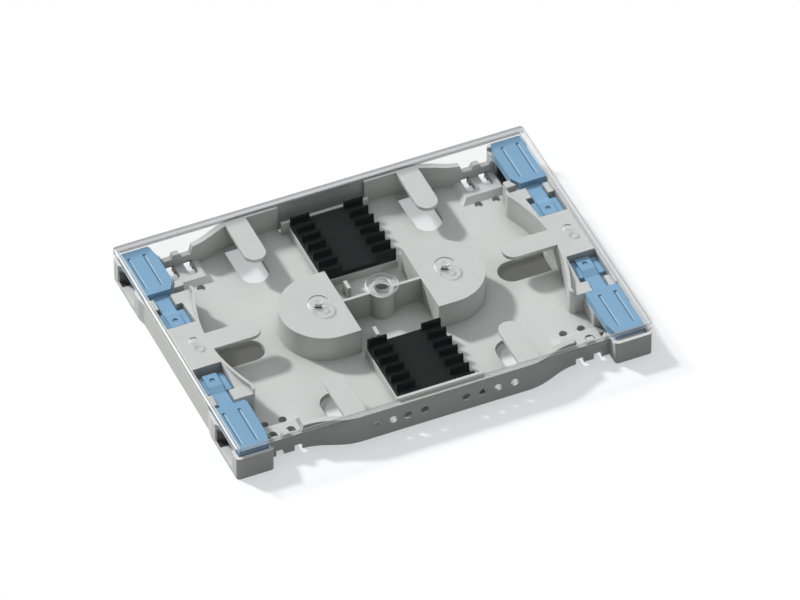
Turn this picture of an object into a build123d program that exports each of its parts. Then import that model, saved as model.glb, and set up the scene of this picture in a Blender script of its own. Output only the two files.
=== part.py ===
from build123d import *
from math import radians, tan
import os

os.makedirs("parts", exist_ok=True)

# Overall envelope of the closed tray
tray_length = 170.0
tray_width = 120.4
cover_top = 15.6

# General moulding sizes
floor_thickness = 2.0
wall_thickness = 2.2
shell_thickness = 1.6
lift_gap = 0.1
slide_gap = 0.35
corner_round = 1.4

# Heights of the tray levels
wall_top = 12.7
deck_top = 13.5
ramp_low = 11.5
box_rim_top = 10.2
shelf_top = 8.8

# Long walls with their curved set-back at the cable ports
wall_inset = 0.4
port_recess = 5.6
curve_length = 23.0
thin_wall = 0.9
thin_half = 18.0

# Cable ports with tie slots and lowered comb edge
port_floor = 4.0
port_length = 15.8
port_depth = 11.6
comb_top = 10.0
comb_low = 8.0
comb_run = 11.0
comb_drop = 1.1
tie_pitch = 7.4
tie_margin = 4.8
tie_width = 3.6
tie_slot_length = 9.0
tie_hole_size = 3.2
tie_hole_gap = 2.0
tie_mouth_height = 2.6
port_rim = 1.2
port_slope = 50.0

# Corner boxes and their side passage
box_length = 15.2
box_depth = 29.2
box_step = 4.0
side_inset = 0.8
rim_wall = 1.5
passage_inset = 13.2
passage_width = 6.0
mouth_near_flare = 5.4
mouth_far_flare = 5.6
inner_near_flare = 4.5
inner_far_flare = 1.4
throat_inset = 5.0
throat_length = 6.0

# Side decks with the latch pockets
deck_width = 14.2
deck_corner = 2.0
deck_bend = ((0.0, 0.0), (0.16, 0.2), (0.34, 0.9), (0.55, 2.4), (0.65, 3.3), (0.81, 5.0), (0.9, 6.2))
rebate_width = 2.2
rebate_top = 12.6
ramp_gap = 6.0
ramp_length = 13.0
pocket_width = 12.0
pocket_gap = 5.7
pocket_floor = 8.2
pocket_inset = 8.0
channel_width = 7.0
cavity_roof = 6.6
mid_cavity_roof = 11.8
mid_cavity_margin = 2.5
guide_wall = 1.2

# Fibre fingers and the floor slots below them
finger_offset = 1.6
finger_width = 8.8
finger_length = 23.2
finger_thickness = 1.5
slot_offset = 0.4
slot_width = 11.6
slot_length = 22.4
slot_wall_gap = 2.2
side_finger_gap = 8.7
side_finger_width = 9.0
side_slot_width = 11.2
side_slot_gap = 7.1
side_slot_margin = 1.6

# Fibre mandrels
mandrel_flat = 15.9
mandrel_centre = 23.7
mandrel_radius = 17.6
mandrel_top = 13.5

# Centre post and rib
post_radius = 4.8
bore_radius = 3.1
rib_thickness = 1.2

# Row of round holes in the front wall
hole_radius = 1.7
hole_height = 6.3
hole_places = (8.5, 15.4, 21.4, 28.2)

# Sleeve holders and the pads below them
holder_half = 14.9
holder_pitch = 5.25
slot_count = 6
fin_thickness = 1.25
holder_base = 5.4
holder_bed = 7.6
holder_top = 11.0
fin_inner = 7.2
pad_margin = 0.5
stop_rib = 1.3
trough_width = 4.05
keeper_height = 1.6
keeper_length = 4.5
keeper_gap = 4.3
keeper_spacing = 3.5

# Cover
rim_thickness = 1.8
plate_thickness = 1.6
cover_bevel = 0.4
snap_place = 26.0
snap_radius = 1.5
snap_length = 3.0
snap_play = 0.15
boss_radius = 4.0
boss_height = 0.8
deck_boss_radius = 1.7
ring_outer = 6.2

# Latches
paddle_play = 0.35
paddle_gap = 2.3
paddle_top = 12.3
corner_cut = 2.4
corner_cut_length = 4.3
latch_travel = 1.8
post_top = 12.0
post_length = 3.5
post_reach = 2.8
end_taper = 1.4
end_taper_length = 6.0
tongue_width = 6.0
tongue_thickness = 1.2
head_length = 9.0
head_thickness = 1.7
head_gap = 1.9
pad_length = 6.7
pad_width = 5.6
pad_top = 11.2
grip_radius = 1.05
grip_depth = 0.5
groove_width = 1.3
groove_depth = 0.45
groove_length = 18.0
groove_spacing = 6.3
groove_inset = 4.4
parked_slide = 1.8

half_length = tray_length / 2
half_width = tray_width / 2
cut_height = 3 * cover_top
side_face = half_length - side_inset
box_inner = half_length - box_length
box_start = half_width - box_depth
wall_bulge = half_width - wall_inset
wall_setback = wall_bulge - port_recess
wall_line = wall_bulge - wall_thickness
port_line = wall_setback - wall_thickness
port_inner = box_inner - port_length
port_edge = wall_setback - port_depth
tie_first = box_inner - tie_margin - tie_pitch
tie_places = (tie_first, tie_first + tie_pitch)
tie_slot_start = wall_setback - tie_slot_length
curve_end = port_inner + 3
curve_start = curve_end - curve_length
throat_outer = half_length - throat_inset
throat_inner = throat_outer - throat_length
passage_near = half_width - passage_inset - passage_width / 2
passage_far = passage_near + passage_width
deck_edge = half_length - deck_width
rebate_edge = half_length - rebate_width
ramp_end = box_start - ramp_gap
ramp_start = ramp_end - ramp_length
pocket_end = box_start - pocket_gap
pocket_axis = half_length - pocket_inset
mandrel_end = mandrel_centre + mandrel_radius
side_finger_tip = mandrel_end + side_finger_gap
side_slot_tip = mandrel_end + side_slot_gap
finger_axis = curve_start + finger_offset
finger_tip = wall_line - finger_length
slot_axis = finger_axis + slot_offset
slot_end = wall_line - slot_wall_gap
slot_tip = slot_end - slot_length
holder_length = slot_count * holder_pitch + fin_thickness
pad_end = wall_bulge - thin_wall - trough_width - stop_rib
holder_start = pad_end - pad_margin - holder_length
keeper_start = holder_start - keeper_gap - keeper_length
cover_bottom = wall_top + lift_gap
plate_bottom = cover_top - plate_thickness
paddle_start = box_start + paddle_gap
paddle_inner = box_inner + lift_gap
deck_curve = [(deck_edge - bend, box_start * share) for share, bend in deck_bend]
guide_curve = [(x + guide_wall, y) for x, y in deck_curve]


# Space above the falling part of the deck, outside the guide wall
with BuildPart() as ramp_space:
    with BuildSketch(Plane.XY.offset(ramp_low)) as ramp_plan:
        with BuildLine():
            Spline(*guide_curve)
            Polyline(
                guide_curve[-1],
                (guide_curve[-1][0], box_start + 1),
                (rebate_edge, box_start + 1),
                (rebate_edge, 0),
                guide_curve[0],
            )
        make_face()
    extrude(amount=deck_top + 1 - ramp_low)
    with BuildSketch(Plane.YZ) as ramp_profile:
        with BuildLine():
            Polyline(
                (ramp_start, deck_top),
                (ramp_end, ramp_low),
                (box_start + 2, ramp_low),
                (box_start + 2, deck_top + 2),
                (ramp_start, deck_top + 2),
                close=True,
            )
        make_face()
    extrude(amount=half_length, mode=Mode.INTERSECT)


# Tray base, one quarter that is mirrored twice
with BuildPart() as tray_base:

    # Floor with the set-back at the cable port
    with BuildSketch() as floor_outline:
        with BuildLine():
            Polyline((curve_start, wall_bulge), (0, wall_bulge), (0, 0), (side_face, 0))
            Polyline((side_face, 0), (side_face, box_start + 1), (box_inner + 1, box_start + 1))
            Polyline((box_inner + 1, box_start + 1), (box_inner + 1, wall_setback), (curve_end, wall_setback))
            Spline((curve_end, wall_setback), (curve_start, wall_bulge), tangents=((-1, 0), (-1, 0)))
        make_face()
    extrude(amount=floor_thickness)

    # Long wall following the same curve
    with BuildSketch() as wall_band:
        with BuildLine():
            Line((0, wall_bulge), (curve_start, wall_bulge))
            Spline((curve_start, wall_bulge), (curve_end, wall_setback), tangents=((1, 0), (1, 0)))
            Polyline((curve_end, wall_setback), (box_inner, wall_setback), (box_inner, port_line))
            Line((box_inner, port_line), (curve_end - 1, port_line))
            Spline((curve_end - 1, port_line), (curve_start - 1, wall_line), tangents=((-1, 0), (-1, 0)))
            Polyline((curve_start - 1, wall_line), (0, wall_line), (0, wall_bulge))
        make_face()
    extrude(amount=wall_top)

    # Lowered comb edge over the cable port
    with BuildSketch(Plane.XZ) as comb_profile:
        with BuildLine():
            Polyline(
                (curve_end - comb_run, wall_top),
                (curve_end - 1.5, wall_top - comb_drop),
                (tie_first - tie_width / 2 + 0.6, comb_low),
                (tie_first + tie_width / 2 + 0.8, comb_low),
                (tie_first + tie_width / 2 + 1.6, comb_top),
                (tie_first + tie_pitch - tie_width / 2 + 0.4, comb_top),
                (tie_first + tie_pitch - tie_width / 2 + 1.0, comb_low),
                (tie_first + tie_pitch + tie_width / 2 + 0.8, comb_low),
                (box_inner - 1.2, box_rim_top),
                (box_inner + 0.5, box_rim_top),
                (box_inner + 0.5, cut_height),
                (curve_end - comb_run, cut_height),
                close=True,
            )
        make_face()
    extrude(amount=-half_width, mode=Mode.SUBTRACT)

    # Raised floor of the cable port with sloping edges
    slope_run = (port_floor - floor_thickness) * tan(radians(port_slope))
    with BuildSketch(Plane.XY.offset(floor_thickness)) as port_ramp:
        with Locations((port_inner - slope_run, port_edge - slope_run)):
            Rectangle(
                port_length + 2 * slope_run + 1,
                port_depth + slope_run,
                align=(Align.MIN, Align.MIN),
            )
    extrude(amount=port_floor - floor_thickness, taper=port_slope)
    with BuildSketch(Plane.XY) as port_pad:
        with Locations((port_inner, port_edge)):
            Rectangle(port_length + 1, port_line + 1 - port_edge, align=(Align.MIN, Align.MIN))
    extrude(amount=port_floor)

    # Shallow hollow below the port floor
    with BuildSketch(Plane.XY) as port_hollow:
        with Locations((port_inner + port_rim, tie_slot_start - port_rim)):
            Rectangle(
                port_length - 2 * port_rim,
                port_line - tie_slot_start + port_rim,
                align=(Align.MIN, Align.MIN),
            )
    extrude(amount=port_floor - floor_thickness, mode=Mode.SUBTRACT)

    # Tie slots, tie holes and the mouths below the wall
    for place in tie_places:
        with BuildSketch(Plane.XY) as tie_slot:
            with Locations((place, tie_slot_start + tie_width / 2)):
                Circle(tie_width / 2)
            with Locations((place, tie_slot_start + tie_width / 2 + (port_line - tie_slot_start) / 2)):
                Rectangle(tie_width, port_line - tie_slot_start)
            with Locations((place, port_edge - tie_hole_gap - tie_hole_size / 2)):
                Circle(tie_hole_size / 2)
        extrude(amount=port_floor + 1, mode=Mode.SUBTRACT)
        with BuildSketch(Plane.XY) as tie_mouth:
            with Locations((place, port_line + wall_thickness / 2)):
                Rectangle(tie_width - 0.4, wall_thickness + 2)
        extrude(amount=tie_mouth_height, mode=Mode.SUBTRACT)

    # Corner box below the latch paddle
    with BuildSketch(Plane.XY) as box_body:
        with BuildLine():
            Polyline((box_inner, box_start), (side_face, box_start), (half_length, box_start + box_step))
            Line((half_length, box_start + box_step), (half_length, half_width - corner_round))
            JernArc((half_length, half_width - corner_round), (0, 1), corner_round, 90)
            Line((half_length - corner_round, half_width), (box_inner + corner_round, half_width))
            JernArc((box_inner + corner_round, half_width), (-1, 0), corner_round, 90)
            Line((box_inner, half_width - corner_round), (box_inner, box_start))
        make_face()
    extrude(amount=box_rim_top)

    # Side deck with its curved inner edge, falling towards the corner
    with BuildSketch(Plane.XY) as deck_shape:
        with BuildLine():
            Spline(*deck_curve)
            Polyline(
                deck_curve[-1],
                (deck_curve[-1][0] - 0.3, box_start),
                (side_face, box_start),
                (side_face, 0),
                deck_curve[0],
            )
        make_face()
        fillet(deck_shape.vertices().sort_by(Axis.X)[0], deck_corner)
    extrude(amount=deck_top)
    add(ramp_space.part, mode=Mode.SUBTRACT)

    # Lowered outer strip that takes the cover rim
    with BuildSketch(Plane.XY.offset(rebate_top)) as rim_rebate:
        with Locations((rebate_edge, -1)):
            Rectangle(half_length, box_start + 2, align=(Align.MIN, Align.MIN))
    extrude(amount=deck_top, mode=Mode.SUBTRACT)

    # Latch pocket and the channel for the tongue
    pocket_length = pocket_end - ramp_start
    with BuildSketch(Plane.XY.offset(pocket_floor)) as latch_pocket:
        with Locations((pocket_axis, ramp_start + pocket_length / 2)):
            Rectangle(pocket_width, pocket_length)
        with Locations((pocket_axis, (ramp_end + box_start + 2) / 2)):
            Rectangle(channel_width, box_start + 2 - ramp_end)
    extrude(amount=cut_height, mode=Mode.SUBTRACT)

    # Shelf for the latch paddle inside the box rim
    with BuildSketch(Plane.XY.offset(shelf_top)) as paddle_shelf:
        with Locations((box_inner - 1, box_start)):
            Rectangle(
                half_length - rim_wall - box_inner + 1,
                half_width - rim_wall - box_start,
                align=(Align.MIN, Align.MIN),
            )
    extrude(amount=cut_height, mode=Mode.SUBTRACT)

    # Side passage with flared mouths under the latch
    with BuildSketch(Plane.XY.offset(floor_thickness)) as side_passage:
        with BuildLine():
            Polyline(
                (box_inner - 0.5, passage_near - inner_near_flare),
                (throat_inner, passage_near),
                (throat_outer, passage_near),
                (half_length + 0.5, passage_near - mouth_near_flare),
                (half_length + 0.5, passage_far + mouth_far_flare),
                (throat_outer, passage_far),
                (throat_inner, passage_far),
                (box_inner - 0.5, passage_far + inner_far_flare),
                close=True,
            )
        make_face()
    extrude(amount=cut_height, mode=Mode.SUBTRACT)

    # Hollows below the deck and the box
    cavity_width = rebate_edge - deck_edge - guide_wall
    with BuildSketch(Plane.XY) as deck_cavity:
        with Locations((deck_edge + guide_wall, 0)):
            Rectangle(cavity_width, box_start - shell_thickness, align=(Align.MIN, Align.MIN))
    extrude(amount=cavity_roof, mode=Mode.SUBTRACT)
    with BuildSketch(Plane.XY) as mid_cavity:
        with Locations((deck_edge + guide_wall, 0)):
            Rectangle(cavity_width, ramp_start - mid_cavity_margin, align=(Align.MIN, Align.MIN))
    extrude(amount=mid_cavity_roof, mode=Mode.SUBTRACT)
    with BuildSketch(Plane.XY) as box_cavities:
        with Locations((box_inner + shell_thickness, passage_far + mouth_far_flare + shell_thickness)):
            Rectangle(
                throat_inner - box_inner,
                half_width - passage_far - mouth_far_flare - 2 * shell_thickness,
                align=(Align.MIN, Align.MIN),
            )
    extrude(amount=cavity_roof, mode=Mode.SUBTRACT)

    # Finger reaching in from the long wall and its floor slot
    with BuildSketch(Plane.XY.offset(wall_top - finger_thickness)) as long_finger:
        with Locations((finger_axis, finger_tip + finger_width / 2)):
            Circle(finger_width / 2)
        with Locations((finger_axis, (finger_tip + finger_width / 2 + wall_line + 0.5) / 2)):
            Rectangle(finger_width, wall_line + 0.5 - finger_tip - finger_width / 2)
    extrude(amount=finger_thickness)
    with BuildSketch(Plane.XY) as finger_slot:
        with Locations((slot_axis, slot_tip + slot_width / 2)):
            Circle(slot_width / 2)
        with Locations((slot_axis, (slot_tip + slot_width / 2 + slot_end) / 2)):
            Rectangle(slot_width, slot_length - slot_width / 2)
    extrude(amount=floor_thickness, mode=Mode.SUBTRACT)

    # Finger reaching in from the side deck and its floor slot
    with BuildSketch(Plane.XY.offset(deck_top - finger_thickness)) as side_finger:
        with Locations((side_finger_tip + side_finger_width / 2, 0)):
            Circle(side_finger_width / 2)
        with Locations((side_finger_tip + side_finger_width / 2, 0)):
            Rectangle(
                deck_edge + 0.8 - side_finger_tip - side_finger_width / 2,
                side_finger_width,
                align=(Align.MIN, Align.CENTER),
            )
    extrude(amount=finger_thickness)
    with BuildSketch(Plane.XY) as side_slot:
        with Locations((side_slot_tip + side_slot_width / 2, 0)):
            Circle(side_slot_width / 2)
            Rectangle(
                deck_edge - side_slot_margin - side_slot_tip - side_slot_width / 2,
                side_slot_width,
                align=(Align.MIN, Align.CENTER),
            )
    extrude(amount=floor_thickness, mode=Mode.SUBTRACT)

    # Hollow mandrel with a straight back
    with BuildSketch(Plane.XY) as mandrel_shape:
        with Locations((mandrel_centre, 0)):
            Circle(mandrel_radius)
            Rectangle(2 * mandrel_radius, 2 * mandrel_radius, align=(Align.MAX, Align.CENTER))
        with Locations((mandrel_flat, 0)):
            Rectangle(
                mandrel_flat + mandrel_radius,
                3 * mandrel_radius,
                align=(Align.MAX, Align.CENTER),
                mode=Mode.SUBTRACT,
            )
    extrude(amount=mandrel_top)
    with BuildSketch(Plane.XY) as mandrel_cavity:
        with Locations((mandrel_centre, 0)):
            Circle(mandrel_radius - shell_thickness)
            Rectangle(
                mandrel_centre - mandrel_flat - shell_thickness,
                2 * (mandrel_radius - shell_thickness),
                align=(Align.MAX, Align.CENTER),
            )
        with Locations((mandrel_flat + shell_thickness, 0)):
            Rectangle(
                mandrel_flat + mandrel_radius,
                3 * mandrel_radius,
                align=(Align.MAX, Align.CENTER),
                mode=Mode.SUBTRACT,
            )
    extrude(amount=mandrel_top - shell_thickness, mode=Mode.SUBTRACT)

    # Snap hole for the cover pin
    with BuildSketch(Plane.XY.offset(deck_top + 1)) as snap_hole:
        with Locations((snap_place, 0)):
            Circle(snap_radius + snap_play)
    extrude(amount=-snap_length - 3, mode=Mode.SUBTRACT)

    # Centre rib with a post
    with BuildSketch(Plane.XY) as centre_rib:
        Rectangle(mandrel_flat + 1, rib_thickness, align=(Align.MIN, Align.CENTER))
        Circle(post_radius)
    extrude(amount=mandrel_top - 0.1)

    # Pad that carries the sleeve holder
    with BuildSketch(Plane.XY) as holder_pad:
        with Locations((0, holder_start - pad_margin)):
            Rectangle(
                2 * (holder_half + pad_margin),
                pad_end - holder_start + pad_margin,
                align=(Align.CENTER, Align.MIN),
            )
    extrude(amount=holder_base)

    # Low stop rib behind the holder
    with BuildSketch(Plane.XY) as low_stop:
        with Locations((0, pad_end)):
            Rectangle(2 * thin_half, stop_rib, align=(Align.CENTER, Align.MIN))
    extrude(amount=holder_bed)

    # Thinner wall and open trough behind the stop rib
    with BuildSketch(Plane.XY) as wall_trough:
        with Locations((0, pad_end + stop_rib)):
            Rectangle(2 * thin_half, trough_width, align=(Align.CENTER, Align.MIN))
    extrude(amount=cut_height, mode=Mode.SUBTRACT)

    # Bore through the centre post
    with BuildSketch(Plane.XY.offset(-1)) as centre_bore:
        Circle(bore_radius)
    extrude(amount=cut_height, mode=Mode.SUBTRACT)

    # Trim to the quarter and mirror it to the whole tray
    with BuildSketch(Plane.XY) as quarter:
        Rectangle(half_length, half_width, align=(Align.MIN, Align.MIN))
    extrude(amount=cover_top, mode=Mode.INTERSECT)
    mirror(about=Plane.YZ)
    mirror(about=Plane.XZ)

    # Higher stop rib at the front holder
    with BuildSketch(Plane.XY) as high_stop:
        with Locations((0, -pad_end)):
            Rectangle(2 * thin_half, stop_rib, align=(Align.CENTER, Align.MAX))
    extrude(amount=holder_top)

    # One keeper rib before each holder
    with BuildSketch(Plane.XY) as keepers:
        for side in (-1, 1):
            with Locations((-post_radius - keeper_spacing, side * (keeper_start + keeper_length / 2))):
                Rectangle(rib_thickness + 0.3, keeper_length)
    extrude(amount=holder_base + keeper_height)

    # Post in the cut corner of each rear latch
    post_near = paddle_start + 0.2
    post_bend = paddle_start + corner_cut_length - latch_travel
    bend_share = (post_bend - post_near) / corner_cut_length
    with BuildSketch(Plane.XY) as latch_posts:
        for side in (-1, 1):
            with BuildLine():
                Polyline(
                    (side * (paddle_inner - slide_gap - post_reach), post_near),
                    (side * (paddle_inner - slide_gap + bend_share * corner_cut), post_near),
                    (side * (paddle_inner - slide_gap), post_bend),
                    (side * (paddle_inner - slide_gap), post_near + post_length),
                    (side * (paddle_inner - slide_gap - post_reach), post_near + post_length),
                    close=True,
                )
            make_face()
    extrude(amount=post_top)

    # Row of holes through the front wall
    with BuildSketch(Plane.XZ.offset(wall_bulge + 1)) as wall_holes:
        for place in hole_places:
            with Locations((-place, hole_height), (place, hole_height)):
                Circle(hole_radius)
    extrude(amount=-wall_thickness - 2.5, mode=Mode.SUBTRACT)
tray_base.part.label = "tray_base"
export_step(tray_base.part, "parts/tray_base.step")


# Clear cover with a short rim, snap pins and bosses
with BuildPart() as clear_cover:
    with BuildSketch(Plane.XY.offset(cover_bottom)) as cover_outline:
        RectangleRounded(tray_length, tray_width, corner_round)
    extrude(amount=cover_top - cover_bottom)
    chamfer(clear_cover.faces().sort_by(Axis.Z)[-1].edges(), cover_bevel)
    with BuildSketch(Plane.XY.offset(cover_bottom)) as rim_inside:
        Rectangle(tray_length - 2 * rim_thickness, tray_width - 2 * rim_thickness)
    extrude(amount=plate_bottom - cover_bottom, mode=Mode.SUBTRACT)
    with BuildSketch(Plane.XY.offset(cover_top)) as bosses:
        Circle(ring_outer)
        with Locations((-snap_place, 0), (snap_place, 0)):
            Circle(boss_radius)
        with Locations((-pocket_axis, 0), (pocket_axis, 0)):
            Circle(deck_boss_radius)
    extrude(amount=boss_height)
    with BuildSketch(Plane.XY.offset(plate_bottom)) as snap_pins:
        with Locations((-snap_place, 0), (snap_place, 0)):
            Circle(snap_radius)
    extrude(amount=-snap_length)
    with BuildSketch(Plane.XY.offset(plate_bottom - 1)) as cover_bore:
        Circle(bore_radius)
    extrude(amount=cover_top, mode=Mode.SUBTRACT)
    with BuildSketch(Plane.XY.offset(cover_top + boss_height)) as boss_dimples:
        with Locations((-snap_place, 0), (snap_place, 0)):
            Circle(snap_radius)
    extrude(amount=-boss_height, mode=Mode.SUBTRACT)
clear_cover.part.label = "clear_cover"
export_step(clear_cover.part, "parts/clear_cover.step")


# Sliding latch, built at the rear right place and mirrored to the others
def slide_latch(side_x, side_y, slide, name):
    cut = corner_cut if side_y > 0 else 0.8
    cut_length = corner_cut_length if side_y > 0 else 0.8
    paddle_outer = half_length - rim_wall - paddle_play
    near = paddle_start - slide
    far = half_width - rim_wall - slide_gap - slide
    latch_bottom = shelf_top + lift_gap
    head_end = pocket_end - head_gap - slide
    head_start = head_end - head_length
    with BuildPart() as latch:
        # Broad paddle with two corners cut back
        with BuildSketch(Plane.XY.offset(latch_bottom)) as paddle:
            with BuildLine():
                Polyline(
                    (paddle_inner + cut, near),
                    (paddle_outer, near),
                    (paddle_outer, far),
                    (paddle_inner + end_taper, far),
                    (paddle_inner, far - end_taper_length),
                    (paddle_inner, near + cut_length),
                    close=True,
                )
            make_face()
        extrude(amount=paddle_top - latch_bottom)
        # Two grooves for grip along the paddle
        groove_middle = near + (far - near) / 2
        with BuildSketch(Plane.XY.offset(paddle_top)) as grooves:
            with Locations(
                (paddle_inner + groove_inset, groove_middle),
                (paddle_inner + groove_inset + groove_spacing, groove_middle),
            ):
                Rectangle(groove_width, groove_length)
        extrude(amount=-groove_depth, mode=Mode.SUBTRACT)
        # Tongue that runs through the channel of the deck
        with BuildSketch(Plane.XY.offset(latch_bottom)) as tongue:
            with Locations((pocket_axis, head_end - 1)):
                Rectangle(tongue_width, near + 2 - head_end, align=(Align.CENTER, Align.MIN))
        extrude(amount=tongue_thickness)
        # T head that lies in the pocket
        with BuildSketch(Plane.XY.offset(pocket_floor + lift_gap)) as head:
            with Locations((pocket_axis, head_end - head_length / 2)):
                Rectangle(pocket_width - 2 * slide_gap, head_length)
        extrude(amount=head_thickness)
        # Raised pad with a sloping end and a round dot
        with BuildSketch(Plane.YZ.offset(pocket_axis - pad_width / 2)) as pad:
            with BuildLine():
                Polyline(
                    (head_start, pocket_floor + lift_gap),
                    (head_start, pad_top),
                    (head_start + pad_length, pad_top),
                    (head_end + 1, latch_bottom + tongue_thickness),
                    (head_end + 1, pocket_floor + lift_gap),
                    close=True,
                )
            make_face()
        extrude(amount=pad_width)
        with BuildSketch(Plane.XY.offset(pad_top)) as dot:
            with Locations((pocket_axis, head_start + pad_length / 2)):
                Circle(grip_radius)
        extrude(amount=-grip_depth, mode=Mode.SUBTRACT)
    piece = latch.part
    if side_x < 0:
        piece = piece.mirror(Plane.YZ)
    if side_y < 0:
        piece = piece.mirror(Plane.XZ)
    piece.label = name
    return piece


latch_places = (
    (1, -1, parked_slide, "latch_front_right"),
    (-1, -1, 0, "latch_front_left"),
    (1, 1, 0, "latch_rear_right"),
    (-1, 1, 0, "latch_rear_left"),
)
for side_x, side_y, slide, name in latch_places:
    export_step(slide_latch(side_x, side_y, slide, name), "parts/" + name + ".step")


# Sleeve holder with six slots between two rows of leaning fins
def sleeve_holder(side_y, name):
    with BuildPart() as holder:
        with BuildSketch(Plane.XY.offset(holder_base)) as bed:
            with Locations((0, holder_start)):
                Rectangle(2 * holder_half, holder_length, align=(Align.CENTER, Align.MIN))
        extrude(amount=holder_bed - holder_base)
        for number in range(slot_count + 1):
            fin_start = holder_start + number * holder_pitch
            with BuildSketch(Plane.YZ.offset(-holder_half)) as fin:
                with BuildLine():
                    Polyline(
                        (fin_start, holder_bed - 0.2),
                        (fin_start + fin_thickness, holder_bed - 0.2),
                        (fin_start + fin_thickness, holder_top - 0.5),
                        (fin_start + fin_thickness - 0.4, holder_top),
                        (fin_start + 0.4, holder_top),
                        (fin_start, holder_top - 0.5),
                        close=True,
                    )
                make_face()
            extrude(amount=holder_half - fin_inner)
        with BuildSketch(Plane.XY.offset(holder_bed)) as half_keep:
            with Locations((0, holder_start - 1)):
                Rectangle(holder_half + 1, holder_length + 2, align=(Align.MIN, Align.MIN))
        extrude(amount=holder_top, mode=Mode.SUBTRACT)
        mirror(about=Plane.YZ)
    piece = holder.part
    if side_y < 0:
        piece = piece.mirror(Plane.XZ)
    piece.label = name
    return piece


for side_y, name in ((-1, "sleeve_holder_front"), (1, "sleeve_holder_rear")):
    export_step(sleeve_holder(side_y, name), "parts/" + name + ".step")
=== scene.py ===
import math
import bmesh
import bpy
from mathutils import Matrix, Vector

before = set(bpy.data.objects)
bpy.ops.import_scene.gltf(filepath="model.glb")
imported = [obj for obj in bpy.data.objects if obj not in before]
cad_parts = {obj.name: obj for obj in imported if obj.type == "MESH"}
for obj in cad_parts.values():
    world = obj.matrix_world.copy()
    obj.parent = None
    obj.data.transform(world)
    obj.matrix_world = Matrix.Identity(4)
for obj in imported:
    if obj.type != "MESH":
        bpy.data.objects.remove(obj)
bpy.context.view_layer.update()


# The base is one moulding in light grey plastic with a satin face and a fine even grain.
# Its crevices have painted shade. The mouths in its sides and the passages beside the latches
# have painted shade, coloured near black in the plastic itself.
def feed(owner, value, socket):
    if isinstance(value, bpy.types.NodeSocket):
        owner.node_tree.links.new(value, socket)
    else:
        socket.default_value = value


def combine(owner, operation, first, second=0.0):
    joined = owner.node_tree.nodes.new("ShaderNodeMath")
    joined.operation = operation
    feed(owner, first, joined.inputs[0])
    feed(owner, second, joined.inputs[1])
    return joined.outputs["Value"]


def spread(owner, value, source, target, shape="LINEAR"):
    ranged = owner.node_tree.nodes.new("ShaderNodeMapRange")
    ranged.interpolation_type = shape
    feed(owner, value, ranged.inputs["Value"])
    ranged.inputs["From Min"].default_value, ranged.inputs["From Max"].default_value = source
    ranged.inputs["To Min"].default_value, ranged.inputs["To Max"].default_value = target
    return ranged.outputs["Result"]


def band(owner, value, reach, blur):
    start, end = reach
    rise = spread(owner, value, (start - blur, start + blur), (0, 1), "SMOOTHSTEP")
    fall = spread(owner, value, (end + blur, end - blur), (0, 1), "SMOOTHSTEP")
    return combine(owner, "MULTIPLY", rise, fall)


def colour_steps(owner, value, steps):
    ramp = owner.node_tree.nodes.new("ShaderNodeValToRGB")
    feed(owner, value, ramp.inputs["Fac"])
    stops = ramp.color_ramp.elements
    while len(stops) < len(steps):
        stops.new(1.0)
    for stop, (position, colour) in zip(stops, steps):
        stop.position = position
        stop.color = (*colour, 1)
    return ramp.outputs["Color"]


def mix_colours(owner, share, first, second, blend="MIX"):
    # A Mix node has its colours at inputs 6 and 7, and the mixed colour at output 2.
    mixed = owner.node_tree.nodes.new("ShaderNodeMix")
    mixed.data_type = "RGBA"
    mixed.blend_type = blend
    feed(owner, share, mixed.inputs[0])
    feed(owner, first, mixed.inputs[6])
    feed(owner, second, mixed.inputs[7])
    return mixed.outputs[2]


def object_place(owner):
    return owner.node_tree.nodes.new("ShaderNodeTexCoord").outputs["Object"]


def axes(owner, vector):
    apart = owner.node_tree.nodes.new("ShaderNodeSeparateXYZ")
    feed(owner, vector, apart.inputs["Vector"])
    return apart.outputs["X"], apart.outputs["Y"], apart.outputs["Z"]


def noise(owner, place, scale, detail):
    cloud = owner.node_tree.nodes.new("ShaderNodeTexNoise")
    cloud.inputs["Scale"].default_value = scale
    cloud.inputs["Detail"].default_value = detail
    feed(owner, place, cloud.inputs["Vector"])
    return cloud.outputs["Fac"]


def rounded_edges(owner, samples, radius):
    rounded = owner.node_tree.nodes.new("ShaderNodeBevel")
    rounded.samples = samples
    rounded.inputs["Radius"].default_value = radius
    return rounded.outputs["Normal"]


def new_material(name):
    material = bpy.data.materials.new(name)
    material.use_nodes = True
    return material, material.node_tree.nodes["Principled BSDF"]


def moulded_plastic(name, colour, drift, roughness, grain, grain_scale, edge_radius):
    plastic, surface = new_material(name)
    surface.inputs["Specular IOR Level"].default_value = 0.4
    place = object_place(plastic)
    cloud = noise(plastic, place, 38.0, 3.0)
    darker = [channel * (1 - drift) for channel in colour]
    lighter = [min(1, channel * (1 + drift)) for channel in colour]
    shades = colour_steps(plastic, cloud, ((0.3, darker), (0.7, lighter)))
    # Painted shade: ambient occlusion darkens the colour in crevices, on top of the rendered shade.
    crevice = plastic.node_tree.nodes.new("ShaderNodeAmbientOcclusion")
    crevice.samples = 4
    crevice.only_local = True
    crevice.inputs["Distance"].default_value = 0.016
    painted_crevice_shade = colour_steps(plastic, crevice.outputs["AO"], ((0.25, (0.5, 0.5, 0.49)), (0.8, (1, 1, 1))))
    feed(plastic, mix_colours(plastic, 1.0, shades, painted_crevice_shade, "MULTIPLY"), surface.inputs["Base Color"])
    feed(plastic, spread(plastic, cloud, (0, 1), (roughness - 0.05, roughness + 0.05)),
         surface.inputs["Roughness"])
    height = plastic.node_tree.nodes.new("ShaderNodeBump")
    height.inputs["Strength"].default_value = grain
    height.inputs["Distance"].default_value = 0.0001
    feed(plastic, noise(plastic, place, grain_scale, 2.0), height.inputs["Height"])
    feed(plastic, rounded_edges(plastic, 4, edge_radius), height.inputs["Normal"])
    feed(plastic, height.outputs["Normal"], surface.inputs["Normal"])
    return plastic, surface


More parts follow.
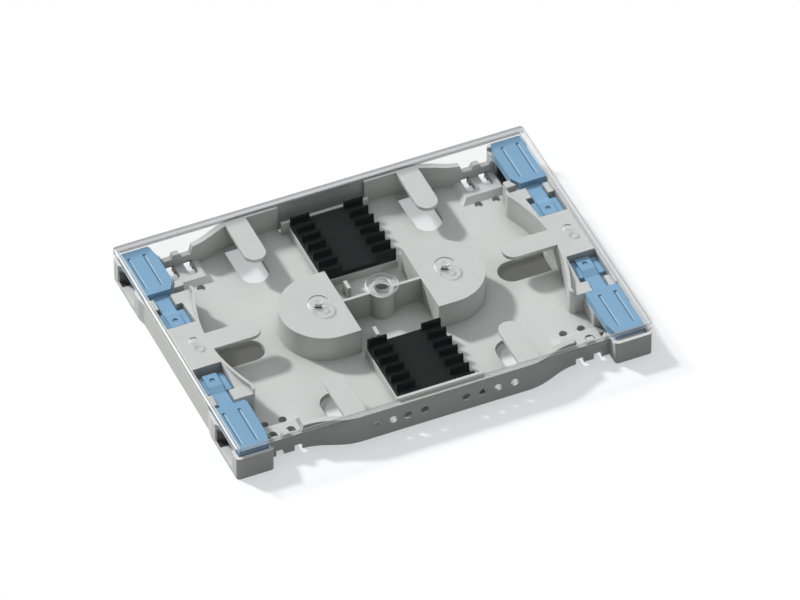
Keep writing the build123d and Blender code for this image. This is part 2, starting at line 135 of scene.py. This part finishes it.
def repaint(owner, surface, share, colour):
    plain_colour = surface.inputs["Base Color"].links[0].from_socket
    feed(owner, mix_colours(owner, share, plain_colour, colour), surface.inputs["Base Color"])


def dress(node, material):
    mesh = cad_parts[node].data
    mesh.materials.clear()
    mesh.materials.append(material)


base_plastic, base_surface = moulded_plastic(
    "light_grey_plastic", colour=(0.76, 0.77, 0.755), drift=0.02, roughness=0.5,
    grain=0.25, grain_scale=2600, edge_radius=0.00022)
across, along, upward = axes(base_plastic, object_place(base_plastic))
from_middle = combine(base_plastic, "ABSOLUTE", across)
from_centre_line = combine(base_plastic, "ABSOLUTE", along)
rear_mouth = band(base_plastic, along, (0.0513, 0.0546), 0.0003)
front_mouth = band(base_plastic, along, (-0.0436, -0.0396), 0.0003)
mouths = combine(base_plastic, "MULTIPLY", combine(base_plastic, "MAXIMUM", rear_mouth, front_mouth),
                 band(base_plastic, from_middle, (0.0812, 0.0847), 0.0002))
passages = combine(base_plastic, "MULTIPLY", band(base_plastic, from_middle, (0.0705, 0.081), 0.0006),
                   band(base_plastic, from_centre_line, (0.044, 0.052), 0.0006))
below_latches = band(base_plastic, upward, (0.0, 0.0078), 0.0008)
painted_hollow_shade = combine(base_plastic, "MULTIPLY",
                  combine(base_plastic, "MAXIMUM", mouths, passages), below_latches)
# Painted shade: the mouths and the passages beside the latches are coloured near black where shade
# falls.
repaint(base_plastic, base_surface, painted_hollow_shade, (0.035, 0.038, 0.04, 1))
dress("tray_base", base_plastic)


# The four corner latches are moulded in light blue plastic.
# Each one slides in its channel, with a broad grooved paddle for the thumb,
# and each groove has a painted shade line at its left and a painted highlight line at its right.
latch_plastic, latch_surface = moulded_plastic(
    "light_blue_plastic", colour=(0.275, 0.505, 0.73), drift=0.025, roughness=0.42,
    grain=0.2, grain_scale=2600, edge_radius=0.00018)
across, along, upward = axes(latch_plastic, object_place(latch_plastic))
groove_starts = (0.07355, 0.07985, -0.07505, -0.08135)
line_width = 0.0007
highlight_line_shift = 0.0008
groove_floor = combine(
    latch_plastic, "MULTIPLY",
    band(latch_plastic, combine(latch_plastic, "ABSOLUTE", along), (0.0352, 0.0562), 0.0002),
    band(latch_plastic, upward, (0.0115, 0.0121), 0.0001))
# Painted shade and painted highlight: a dark line at each groove's left wall and a pale line at its
# right.
for shade_or_highlight_colour, shift in (((0.09, 0.2, 0.32, 1), 0), ((0.46, 0.66, 0.83, 1), highlight_line_shift)):
    painted_groove_lines = 0.0
    for start in groove_starts:
        line = band(latch_plastic, across, (start + shift, start + shift + line_width), 0.0001)
        painted_groove_lines = combine(latch_plastic, "MAXIMUM", line, painted_groove_lines)
    repaint(latch_plastic, latch_surface,
            combine(latch_plastic, "MULTIPLY", painted_groove_lines, groove_floor), shade_or_highlight_colour)
for latch in ("latch_front_left", "latch_front_right", "latch_rear_left", "latch_rear_right"):
    dress(latch, latch_plastic)


# The two sleeve holders are soft black plastic with a dull, slightly grained face.
# The splice sleeves are pressed between their leaning fins.
holder_plastic, holder_surface = moulded_plastic(
    "dull_black_plastic", colour=(0.010, 0.011, 0.011), drift=0.12, roughness=0.6,
    grain=0.5, grain_scale=1500, edge_radius=0.00012)
holder_surface.inputs["Specular IOR Level"].default_value = 0.15
for holder in ("sleeve_holder_front", "sleeve_holder_rear"):
    dress(holder, holder_plastic)


# The cover is one clear moulding that snaps on with pins. Its flat faces only dim what lies under them.
# Its edges and bosses gather the light and carry painted highlight where they face left and front,
# painted shade where they face the rear and a painted glow on the left, and its rear rim is painted
# grey as shade.
clear_plastic, clear_surface = new_material("clear_plastic")
clear_surface.inputs["IOR"].default_value = 1.49
clear_surface.inputs["Specular IOR Level"].default_value = 0.2
nodes = clear_plastic.node_tree.nodes
place = object_place(clear_plastic)
across, along, _ = axes(clear_plastic, place)
geometry = nodes.new("ShaderNodeNewGeometry")
edge_normal = rounded_edges(clear_plastic, 12, 0.0009)
bend = nodes.new("ShaderNodeVectorMath")
bend.operation = "DOT_PRODUCT"
feed(clear_plastic, edge_normal, bend.inputs[0])
feed(clear_plastic, geometry.outputs["Normal"], bend.inputs[1])
sharp_edges = spread(clear_plastic, bend.outputs["Value"], (0.996, 0.94), (0, 1))
levelness = combine(clear_plastic, "ABSOLUTE", axes(clear_plastic, geometry.outputs["Normal"])[2])
wall_share = colour_steps(clear_plastic, levelness, (
    (0.3, (0.1, 0.1, 0.1)), (0.5, (1, 1, 1)), (0.85, (1, 1, 1)), (0.97, (0, 0, 0))))
sideways, endways, _ = axes(clear_plastic, edge_normal)
front_calm = spread(clear_plastic, endways, (-0.6, -0.1), (0.38, 1))
outer_edges = combine(clear_plastic, "MULTIPLY",
                      combine(clear_plastic, "MAXIMUM", sharp_edges, wall_share), front_calm)
inside_rim = combine(clear_plastic, "MULTIPLY", band(clear_plastic, across, (-0.079, 0.079), 0.0005),
                     band(clear_plastic, along, (-0.052, 0.052), 0.0005))
boss_sides = combine(clear_plastic, "MULTIPLY", inside_rim,
                     spread(clear_plastic, levelness, (0.6, 0.2), (0, 0.6)))
# Painted shade: the rear rim is coloured grey, mixed into the painted edge light and shade.
rear_rim = band(clear_plastic, along, (0.0584, 0.0640), 0.0002)
rear_rim_painted_grey = combine(clear_plastic, "MULTIPLY", rear_rim, 0.3)
edges = combine(clear_plastic, "MAXIMUM", outer_edges,
                combine(clear_plastic, "MAXIMUM", boss_sides, rear_rim_painted_grey))

# Painted highlight and shade: edges facing left and front are coloured white, edges facing the rear
# dark.
turned_away = nodes.new("ShaderNodeVectorMath")
turned_away.operation = "DOT_PRODUCT"
turned_away.inputs[1].default_value = (0.22, 0.95, 0)
feed(clear_plastic, edge_normal, turned_away.inputs[0])
painted_edge_light_and_shade = colour_steps(clear_plastic, turned_away.outputs["Value"], (
    (0.05, (1, 1, 1)), (0.3, (0.04, 0.035, 0.045))))
painted_rim_light_and_shade = mix_colours(clear_plastic, rear_rim, painted_edge_light_and_shade, (0.16, 0.15, 0.17, 1))
feed(clear_plastic, mix_colours(clear_plastic, edges, (0.02, 0.022, 0.024, 1), painted_rim_light_and_shade),
     clear_surface.inputs["Base Color"])
face_alpha, edge_alpha = 0.065, 0.9
feed(clear_plastic, spread(clear_plastic, edges, (0, 1), (face_alpha, edge_alpha)),
     clear_surface.inputs["Alpha"])
feed(clear_plastic, spread(clear_plastic, noise(clear_plastic, place, 90.0, 2.0), (0, 1), (0.05, 0.12)),
     clear_surface.inputs["Roughness"])
# Painted highlight: the left edges glow with emission, though no lamp is there.
left_side = spread(clear_plastic, sideways, (-0.1, -0.5), (0, 1))
painted_glow_edges = combine(clear_plastic, "MULTIPLY", outer_edges, left_side)
feed(clear_plastic, painted_edge_light_and_shade, clear_surface.inputs["Emission Color"])
feed(clear_plastic, spread(clear_plastic, painted_glow_edges, (0, 1), (0, 0.3)),
     clear_surface.inputs["Emission Strength"])
through_light = nodes.new("ShaderNodeBsdfTranslucent")
feed(clear_plastic, painted_rim_light_and_shade, through_light.inputs["Color"])
gathered = nodes.new("ShaderNodeMixShader")
feed(clear_plastic, spread(clear_plastic, edges, (0, 1), (0, 0.3)), gathered.inputs["Fac"])
feed(clear_plastic, clear_surface.outputs["BSDF"], gathered.inputs[1])
feed(clear_plastic, through_light.outputs["BSDF"], gathered.inputs[2])
feed(clear_plastic, gathered.outputs["Shader"], nodes["Material Output"].inputs["Surface"])
dress("clear_cover", clear_plastic)


# The tray lies on a seamless white sheet that reaches past the picture on every side.
# The sheet keeps the tray's soft shadow and is white wherever the lamp reaches it.
# It has painted shade below the side slots, the front slots and the front tie holes.
def seen_directly(owner):
    ray = owner.node_tree.nodes.new("ShaderNodeLightPath")
    seen = combine(owner, "MAXIMUM", ray.outputs["Is Camera Ray"], ray.outputs["Is Glossy Ray"])
    return combine(owner, "MAXIMUM", seen, ray.outputs["Is Transmission Ray"])


sheet = bmesh.new()
sheet_half_width = 4.0
bmesh.ops.create_grid(sheet, x_segments=1, y_segments=1, size=sheet_half_width)
sheet_mesh = bpy.data.meshes.new("white_sheet")
sheet.to_mesh(sheet_mesh)
sheet.free()
ground = bpy.data.objects.new("white_sheet", sheet_mesh)
bpy.context.scene.collection.objects.link(ground)
paper, unused_surface = new_material("white_paper")
nodes = paper.node_tree.nodes
nodes.remove(unused_surface)
across, along, _ = axes(paper, object_place(paper))
from_middle = combine(paper, "ABSOLUTE", across)
side_slots = combine(paper, "MULTIPLY", band(paper, from_middle, (0.040, 0.072), 0.0005),
                     band(paper, along, (-0.0085, 0.0115), 0.0005))
tie_holes = combine(paper, "MULTIPLY", band(paper, from_middle, (0.053, 0.070), 0.0005),
                    band(paper, along, (-0.042, -0.033), 0.0005))
front_slots = combine(paper, "MULTIPLY", band(paper, from_middle, (0.028, 0.052), 0.0005),
                      band(paper, along, (-0.0405, -0.020), 0.0022))
# Painted shade: the sheet is coloured dark where it shows through the tray's slots and holes.
shade = combine(paper, "MAXIMUM", combine(paper, "MAXIMUM", side_slots, tie_holes),
                combine(paper, "MULTIPLY", front_slots, 0.72))
matt = nodes.new("ShaderNodeBsdfDiffuse")
feed(paper, colour_steps(paper, shade, ((0, (0.6, 0.6, 0.585)), (1, (0.08, 0.08, 0.078)))),
     matt.inputs["Color"])
lift = nodes.new("ShaderNodeEmission")
feed(paper, colour_steps(paper, shade, ((0, (0.405, 0.41, 0.425)), (1, (0.085, 0.088, 0.082)))),
     lift.inputs["Color"])
white_face = nodes.new("ShaderNodeAddShader")
feed(paper, matt.outputs["BSDF"], white_face.inputs[0])
feed(paper, lift.outputs["Emission"], white_face.inputs[1])
bounce = nodes.new("ShaderNodeBsdfDiffuse")
bounce.inputs["Color"].default_value = (0.16, 0.16, 0.155, 1)
sheet_face = nodes.new("ShaderNodeMixShader")
feed(paper, seen_directly(paper), sheet_face.inputs["Fac"])
feed(paper, bounce.outputs["BSDF"], sheet_face.inputs[1])
feed(paper, white_face.outputs["Shader"], sheet_face.inputs[2])
feed(paper, sheet_face.outputs["Shader"], nodes["Material Output"].inputs["Surface"])
sheet_mesh.materials.append(paper)


# One broad lamp behind and to the left gives the soft shadows to the right and front.
# A pale sky, brightest overhead, fills the shaded sides.
lamp = bpy.data.lights.new("window_lamp", "SUN")
lamp.energy = 2.75
lamp.angle = math.radians(6.5)
lamp_object = bpy.data.objects.new("window_lamp", lamp)
towards_lamp = Vector((-0.67, 1.05, 1.0))
lamp_object.rotation_euler = towards_lamp.to_track_quat("Z", "Y").to_euler()
bpy.context.scene.collection.objects.link(lamp_object)
sky = bpy.data.worlds.new("pale_sky")
bpy.context.scene.world = sky
sky.use_nodes = True
nodes = sky.node_tree.nodes
direction = nodes.new("ShaderNodeTexCoord").outputs["Generated"]
overhead = combine(sky, "POWER", axes(sky, direction)[2], 2.0)
overhead.node.use_clamp = True
fill = nodes["Background"]
fill.inputs["Color"].default_value = (0.97, 0.985, 1.0, 1)
feed(sky, spread(sky, overhead, (0, 1), (0, 0.93)), fill.inputs["Strength"])
white = nodes.new("ShaderNodeBackground")
white.inputs["Strength"].default_value = 1.0
sky_seen = nodes.new("ShaderNodeMixShader")
feed(sky, seen_directly(sky), sky_seen.inputs["Fac"])
feed(sky, fill.outputs["Background"], sky_seen.inputs[1])
feed(sky, white.outputs["Background"], sky_seen.inputs[2])
feed(sky, sky_seen.outputs["Shader"], nodes["World Output"].inputs["Surface"])
bpy.context.scene.view_settings.view_transform = "Standard"


# The camera stands far off with a long lens, to the left of the front wall.
lens = bpy.data.cameras.new("long_lens")
lens.sensor_width = 36
lens.lens = 458.1
lens.clip_start = 0.1
lens.clip_end = 20
camera = bpy.data.objects.new("long_lens", lens)
turn = math.radians(-23.75)
rise = math.radians(43.526)
distance = 3.85506
aim = Vector((0.00959, 0.00461, 0))
away = Vector((math.sin(turn) * math.cos(rise), -math.cos(turn) * math.cos(rise), math.sin(rise)))
camera.location = aim + distance * away
camera.rotation_euler = away.to_track_quat("Z", "Y").to_euler()
bpy.context.scene.collection.objects.link(camera)
bpy.context.scene.camera = camera
